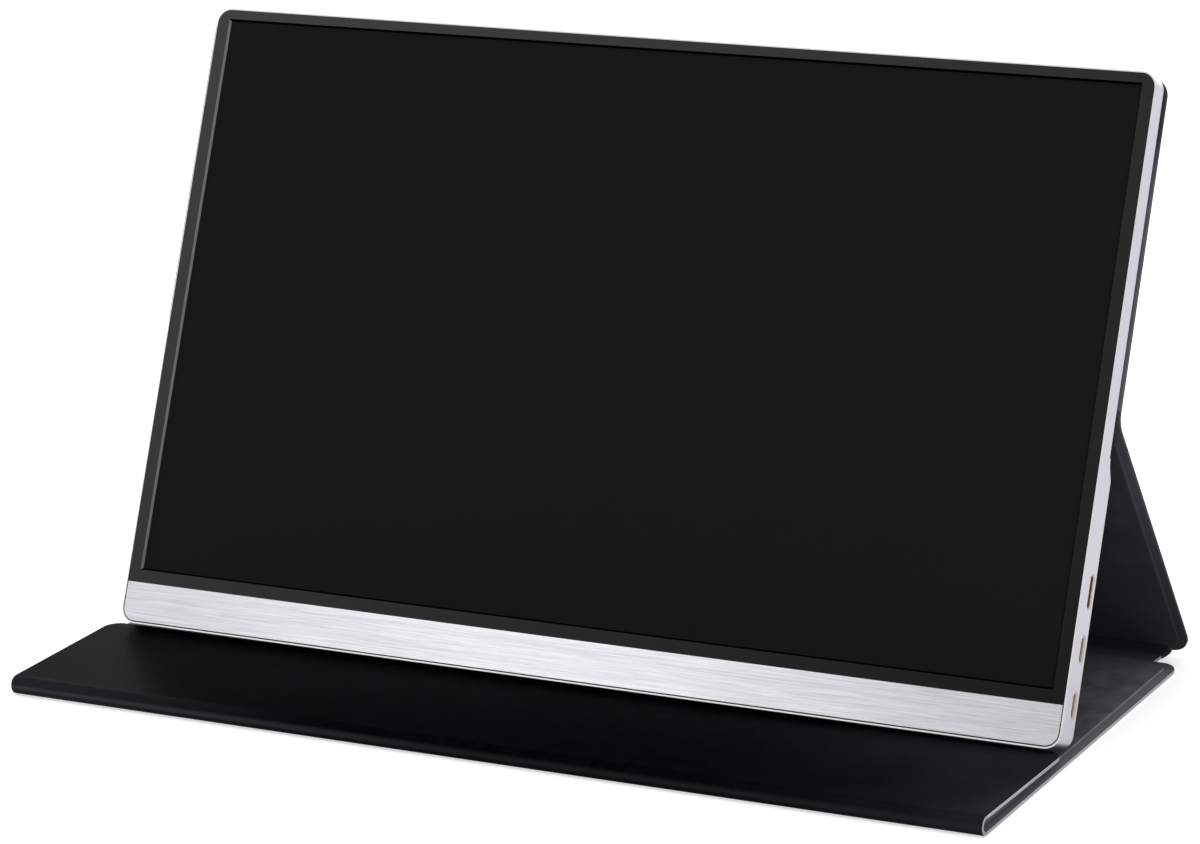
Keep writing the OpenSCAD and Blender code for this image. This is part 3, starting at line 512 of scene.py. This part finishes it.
def combine(piece, other, operation):
    # adds or cuts away the other piece, which is used up
    only(piece)
    modifier = piece.modifiers.new("combine", "BOOLEAN")
    modifier.operation = operation
    modifier.solver = "EXACT"
    modifier.object = other
    bpy.ops.object.modifier_apply(modifier="combine")
    bpy.data.objects.remove(other, do_unlink=True)


def roundEdges(piece, test, width, segments=2):
    only(piece)
    bpy.ops.object.mode_set(mode="EDIT")
    pick(piece, "EDGE", test)
    bpy.ops.mesh.bevel(offset=width, segments=segments, affect="EDGES", clamp_overlap=True)
    bpy.ops.object.mode_set(mode="OBJECT")


def giveMaterials(piece, choose, *materials):
    piece.data.materials.clear()
    for material in materials:
        piece.data.materials.append(material)
    for face in piece.data.polygons:
        face.material_index = choose(face)


def settle(piece, place, angle=35):
    # puts the piece where it belongs, with its place in its mesh, and smooths it
    only(piece)
    piece.matrix_world = place
    bpy.ops.object.transform_apply(location=True, rotation=True, scale=True)
    bpy.ops.object.shade_smooth_by_angle(angle=math.radians(angle))
    return piece


# the cover's panels: skin outside, lining with its raised part inside

sheet = cover["skin"] + cover["lining"]
panelThickness = sheet + cover["board"]
spineY, spineRadius = cover["spine"]
frontY, frontRadius = cover["frontFold"]

onStrut = (Matrix.Translation((0, spineY, spineRadius)) @ Matrix.Rotation(cover["strutTurn"], 4, "X")
           @ Matrix.Translation((0, 0, -spineRadius)))
onBack = (monitorPlace @ Matrix.Translation((0, cover["backDepth"], cover["backStart"]))
          @ Matrix.Rotation(math.pi / 2, 4, "X"))
onFlap = (Matrix.Translation((0, frontY, frontRadius)) @ Matrix.Rotation(-cover["flapTurn"], 4, "X")
          @ Matrix.Translation((0, 0, -frontRadius)))

panels = {
    "base": {"body": "base", "place": Matrix.Identity(4), "near": frontY, "far": cover["baseEnd"],
             "bright": True, "corners": (0, 6.5 * mm),
             "raised": (cover["foldMargin"], cover["rearMargin"])},
    "flap": {"body": "front_flap", "place": onFlap, "near": -cover["flapLength"] - cover["flapBorder"],
             "far": -cover["hingeGap"], "bright": True, "corners": (5.5 * mm, 0),
             "raised": (cover["edgeMargin"] + cover["flapBorder"], cover["foldMargin"])},
    "strut": {"body": "strut", "place": onStrut, "near": -cover["tabReach"], "far": cover["strutLength"],
              "bright": False, "corners": (7 * mm, 0),
              "raised": (cover["tabReach"] + cover["foldMargin"], cover["foldMargin"])},
    "back": {"body": "back_panel", "place": onBack, "near": 0, "far": cover["backLength"], "bright": False,
             "corners": (0, 6 * mm), "raised": (cover["foldMargin"], cover["edgeMargin"])},
}
softness = {  # widths of the rounded edges
    "skin": 0.12 * mm,
    "seam": 0.13 * mm,  # at the two cut edges that meet
    "lining": 0.2 * mm,
    "padFoot": 0.3 * mm,
    "padTop": 0.35 * mm,
    "padCorner": 3.9 * mm,
}
flatTilt, cutTilt = 0.97, 0.3  # a face is flat above the first, and a cut side below the second


def spineSlot(name, low, high):
    # what is cut away between the strut's two tabs
    inset, past = cover["spineInset"], 5 * mm
    return plate(name, cover["left"] + inset, cover["right"] - inset, -cover["tabReach"] - past, 0, low, high)


for name, panel in panels.items():
    left, right, near, far = cover["left"], cover["right"], panel["near"], panel["far"]
    nearRadius, farRadius = panel["corners"]
    folded = {near: nearRadius == 0, far: farRadius == 0}  # ends that go over into a fold

    def free(spot):
        return not any(folded[end] and abs(spot.y - end) < 10 * tiny for end in folded)

    def level(e, height):
        flush = all(abs(v.co.z - height) < tiny for v in e.verts)
        return flush and len(e.link_faces) == 2 and free(middle(e))

    def atRim(face):
        # 1 on the cut rim, 2 on the rounding beside it, 0 elsewhere
        spot, tilt = face.center, abs(face.normal.z)
        if tilt > flatTilt or not free(spot) or not panel["bright"]:
            return 0
        return 1 if tilt < cutTilt else 2

    skin = plate(name + "Leather", left, right, near, far, 0, cover["skin"], nearRadius, farRadius)
    if name == "strut":
        combine(skin, spineSlot("slot", -1 * mm, 3 * mm), "DIFFERENCE")
    roundEdges(skin, lambda e: level(e, 0), softness["skin"], 2)
    roundEdges(skin, lambda e: level(e, cover["skin"]), softness["seam"], 1)

    def skinFace(face):
        # the cut rim is bright, and the rounding beside it gets painted shade on its inner side alone, for the
        # groove between the layers
        return (0, 1, 2 if face.center.z > cover["skin"] / 2 else 0)[atRim(face)]

    leather = finishes["cover_skin"] if panel["bright"] else outerSkin
    giveMaterials(skin, skinFace, leather, skinCut, grooveShade)
    settle(skin, panel["place"])
    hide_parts(name + "_skin")
    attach(skin, panel["body"])

    lining = plate(name + "Fabric", left, right, near, far, cover["skin"], sheet, nearRadius, farRadius)
    nearMargin, farMargin = panel["raised"]
    padLeft, padRight = left + cover["edgeMargin"], right - cover["edgeMargin"]
    padNear, padFar = near + nearMargin, far - farMargin
    padCorner, wrap = softness["padCorner"], cover["lining"]
    pad = plate("pad", padLeft, padRight, padNear, padFar, cover["skin"], panelThickness, padCorner, padCorner)
    roundEdges(pad, lambda e: abs(middle(e).z - panelThickness) < tiny, softness["padTop"], 4)
    combine(lining, pad, "UNION")
    pocket = plate("pocket", padLeft + wrap, padRight - wrap, padNear + wrap, padFar - wrap, 0,
                   cover["skin"] + cover["board"], padCorner - wrap, padCorner - wrap)
    combine(lining, pocket, "DIFFERENCE")
    if name == "strut":
        combine(lining, spineSlot("slot", -1 * mm, 5 * mm), "DIFFERENCE")

    def onPad(spot):
        slack = 0.1 * mm
        return (padLeft - slack < spot.x < padRight + slack) and (padNear - slack < spot.y < padFar + slack)

    roundEdges(lining, lambda e: level(e, sheet) and onPad(middle(e)), softness["padFoot"], 3)
    roundEdges(lining, lambda e: level(e, sheet) and not onPad(middle(e)), softness["lining"], 2)
    roundEdges(lining, lambda e: level(e, cover["skin"]) and not onPad(middle(e)), softness["seam"], 1)

    def liningFace(face):
        # the rounded top edge of the raised part gets a painted highlight on the bright panels
        spot, tilt = face.center, face.normal.z
        if not onPad(spot):
            return atRim(face)
        topEdge = spot.z > sheet + cover["board"] / 2 and cutTilt < tilt < flatTilt
        return 3 if topEdge and panel["bright"] else 0

    fabric = strutLining if name == "strut" else finishes["cover_lining"]
    giveMaterials(lining, liningFace, fabric, liningCut, grooveShade, creaseHighlight)
    settle(lining, panel["place"])
    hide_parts(name + "_lining")
    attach(lining, panel["body"])
print("cover panels made:", len(panels) * 2)


# the folds between the panels

def bentStrip(name, left, right, start, low, high, turn, centre, steps, lead=0.0, tail=0.0):
    # a strip that runs along Y from start - lead to start, turns up round the centre and runs on straight
    nothingSelected()
    bpy.ops.mesh.primitive_plane_add(size=1, location=((left + right) / 2, start, (low + high) / 2),
                                     rotation=(math.pi / 2, 0, 0))
    piece = bpy.context.object
    piece.name = name
    piece.scale = (right - left, high - low, 1)
    bpy.ops.object.transform_apply(location=True, rotation=True, scale=True)
    bpy.ops.object.mode_set(mode="EDIT")
    if lead > 0:
        bpy.ops.mesh.select_all(action="SELECT")
        bpy.ops.transform.translate(value=(0, -lead, 0))
        bpy.ops.mesh.extrude_region_move(TRANSFORM_OT_translate={"value": (0, lead, 0)})
    else:
        bpy.ops.mesh.select_all(action="SELECT")
    bpy.ops.mesh.spin(steps=steps, angle=-turn, center=(0, start, centre), axis=(1, 0, 0), dupli=False)
    if tail > 0:
        bpy.ops.mesh.extrude_region_move(
            TRANSFORM_OT_translate={"value": (0, tail * math.cos(turn), tail * math.sin(turn))})
    bpy.ops.mesh.select_all(action="SELECT")
    bpy.ops.mesh.remove_doubles(threshold=tiny)
    bpy.ops.mesh.normals_make_consistent(inside=False)
    bpy.ops.object.mode_set(mode="OBJECT")

    def atEnd(e):
        tilts = sorted(abs(face.normal.x) for face in e.link_faces)
        across = abs(e.verts[0].co.x - e.verts[1].co.x) < tiny
        return across and len(tilts) == 2 and tilts[0] < 0.1 and tilts[1] > 0.9

    roundEdges(piece, atEnd, softness["seam"], 1)
    return piece


def stripEnds(face):
    # 1 on the cut end, 2 on the rounding beside it, 0 elsewhere
    reach = abs(face.normal.x)
    return 1 if reach > 0.95 else 2 if reach > 0.3 else 0


spineLeft, spineRight = cover["left"] + cover["spineInset"], cover["right"] - cover["spineInset"]
spineFlare = {"start": spineY - 2 * mm, "length": 5 * mm, "reach": 3 * mm}  # its ends widen to the strut
foldSteps = {"spine": 24, "front": 40, "back": 16}
layers = {  # low and high side, slot, name and the finish of the cut ends
    "skin": (0, cover["skin"], "cover_skin", "Leather", skinCut),
    "lining": (cover["skin"], sheet, "cover_lining", "Fabric", liningCut),
}
for layer, (low, high, slotName, word, cutFinish) in layers.items():
    nodeEnd = "_" + layer
    spine = bentStrip("spine" + word, spineLeft, spineRight, spineY, low, high, cover["strutTurn"],
                      spineRadius, foldSteps["spine"], lead=spineY - cover["baseEnd"])
    for vertex in spine.data.vertices:
        spot = vertex.co
        rise = max(0.0, min(1.0, (spot.y - spineFlare["start"]) / spineFlare["length"]))
        spot.x += (spineFlare["reach"] * rise * rise) * (1 if spot.x > 0 else -1)
    giveMaterials(spine, stripEnds, outerSkin if layer == "skin" else spineLining, cutFinish, grooveShade)
    settle(spine, Matrix.Identity(4))
    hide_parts("spine_fold" + nodeEnd)
    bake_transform(spine)

    front = bentStrip("frontFold" + word, cover["left"], cover["right"], 0, low, high, cover["flapTurn"],
                      frontRadius, foldSteps["front"], tail=cover["hingeGap"])
    settle(front, Matrix.Translation((0, frontY, 0)) @ Matrix.Scale(-1, 4, (0, 1, 0)))
    only(front)  # turned over by its mirroring, so its faces are pointed outwards again
    bpy.ops.object.mode_set(mode="EDIT")
    bpy.ops.mesh.select_all(action="SELECT")
    bpy.ops.mesh.normals_make_consistent(inside=False)
    bpy.ops.object.mode_set(mode="OBJECT")
    giveMaterials(front, stripEnds, foldSkin if layer == "skin" else finishes[slotName], cutFinish, grooveShade)
    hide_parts("front_fold" + nodeEnd)
    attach(front, "base")
    # the joint turns past 180 degrees, where a bent fold would roll up, so it lies flat under the panels
    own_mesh(front)

    radius = cover["backFoldRadius"]
    back = bentStrip("backFold" + word, cover["left"], cover["right"], 0, low, high, -cover["backFoldTurn"],
                     -radius, foldSteps["back"])
    settle(back, onStrut @ Matrix.Translation((0, cover["strutLength"], 0)))
    giveMaterials(back, lambda face: 0, outerSkin if layer == "skin" else strutLining)
    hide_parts("back_fold" + nodeEnd)
    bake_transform(back)
print("folds made:", 3 * len(layers))


# camera, floor and light

cameraSpot = {
    "place": (0.820818, -1.376054, 0.614619),
    "aim": (-0.015137, 0.059969, 0.077417),
    "roll": math.radians(3.885),
    "lens": 155.347,
    "sensor": 36,
    "clip": (0.01, 50),
}
studioFloor = {"size": 12, "grey": 0.80, "roughness": 0.9, "specular": 0.1, "glow": 0.55}
studioWorld = {"light": 0.6, "seen": 1.0}


def facing(place, aim):
    return (Vector(aim) - Vector(place)).to_track_quat("-Z", "Y")


def anyRay(nodes, links, *kinds):
    path = nodes.new("ShaderNodeLightPath")
    return maths(nodes, links, "MAXIMUM", *(path.outputs[kind] for kind in kinds))


nothingSelected()
bpy.ops.object.camera_add(location=cameraSpot["place"])
camera = bpy.context.object
camera.name = "camera"
camera.rotation_euler = (facing(cameraSpot["place"], cameraSpot["aim"]).to_matrix().to_4x4()
                         @ Matrix.Rotation(-cameraSpot["roll"], 4, "Z")).to_euler()
camera.data.lens = cameraSpot["lens"]
camera.data.sensor_width = cameraSpot["sensor"]
camera.data.sensor_fit = "HORIZONTAL"
camera.data.clip_start, camera.data.clip_end = cameraSpot["clip"]
bpy.context.scene.camera = camera

bpy.ops.mesh.primitive_plane_add(size=studioFloor["size"], location=(0, 0, 0))
floor = bpy.context.object
floor.name = "floor"
floorMaterial, nodes, links, shader = newMaterial(
    "paleFloor", (studioFloor["grey"],) * 3, studioFloor["roughness"], specular=studioFloor["specular"])
glow = nodes.new("ShaderNodeEmission")
glow.inputs["Strength"].default_value = studioFloor["glow"]
lifted = nodes.new("ShaderNodeAddShader")
links.new(shader.outputs["BSDF"], lifted.inputs[0])
links.new(glow.outputs["Emission"], lifted.inputs[1])
rayMix = nodes.new("ShaderNodeMixShader")  # the glow is seen, and lights nothing
links.new(anyRay(nodes, links, "Is Camera Ray", "Is Glossy Ray"), rayMix.inputs["Fac"])
links.new(shader.outputs["BSDF"], rayMix.inputs[1])
links.new(lifted.outputs["Shader"], rayMix.inputs[2])
links.new(rayMix.outputs["Shader"], nodes["Material Output"].inputs["Surface"])
floor.data.materials.append(floorMaterial)

world = bpy.data.worlds.new("studio")
bpy.context.scene.world = world
world.use_nodes = True
nodes, links = world.node_tree.nodes, world.node_tree.links
background = nodes["Background"]
background.inputs["Color"].default_value = (1, 1, 1, 1)
seen = anyRay(nodes, links, "Is Camera Ray", "Is Transmission Ray")
links.new(spread(nodes, links, seen, studioWorld["light"], studioWorld["seen"]), background.inputs["Strength"])

lamps = {
    "chinLamp": {"place": (-0.98, -1.53, 0.86), "aim": (0, 0, 0.05), "size": 0.4, "power": 0.41},
    "leftLamp": {"place": (-1.5, -1.0, 0.6), "aim": (0, 0, 0.1), "size": 0.8, "power": 0.5},
    "backLamp": {"place": (-1.0, 1.7, 0.75), "aim": (-0.15, 0, 0), "size": 1.0, "power": 10},
    "rearLamp": {"place": (0, 1.9, 0.5), "aim": (0, 0.1, 0.1), "size": 1.2, "power": 8},
    "rightLamp": {"place": (1.72, -0.82, 0.5), "aim": (0.15, 0, 0.1), "size": 0.6, "power": 1.2},
    "topLamp": {"place": (0.1, -0.4, 1.8), "aim": (0, 0, 0.1), "size": 1.2, "power": 8},
}
for name, lamp in lamps.items():
    bpy.ops.object.light_add(type="AREA", location=lamp["place"])
    light = bpy.context.object
    light.name = name
    light.data.energy = lamp["power"]
    light.data.size = lamp["size"]
    light.rotation_euler = facing(lamp["place"], lamp["aim"]).to_euler()
bpy.context.scene.view_settings.view_transform = "Standard"
print("camera, floor and lamps placed:", len(lamps), "lamps")
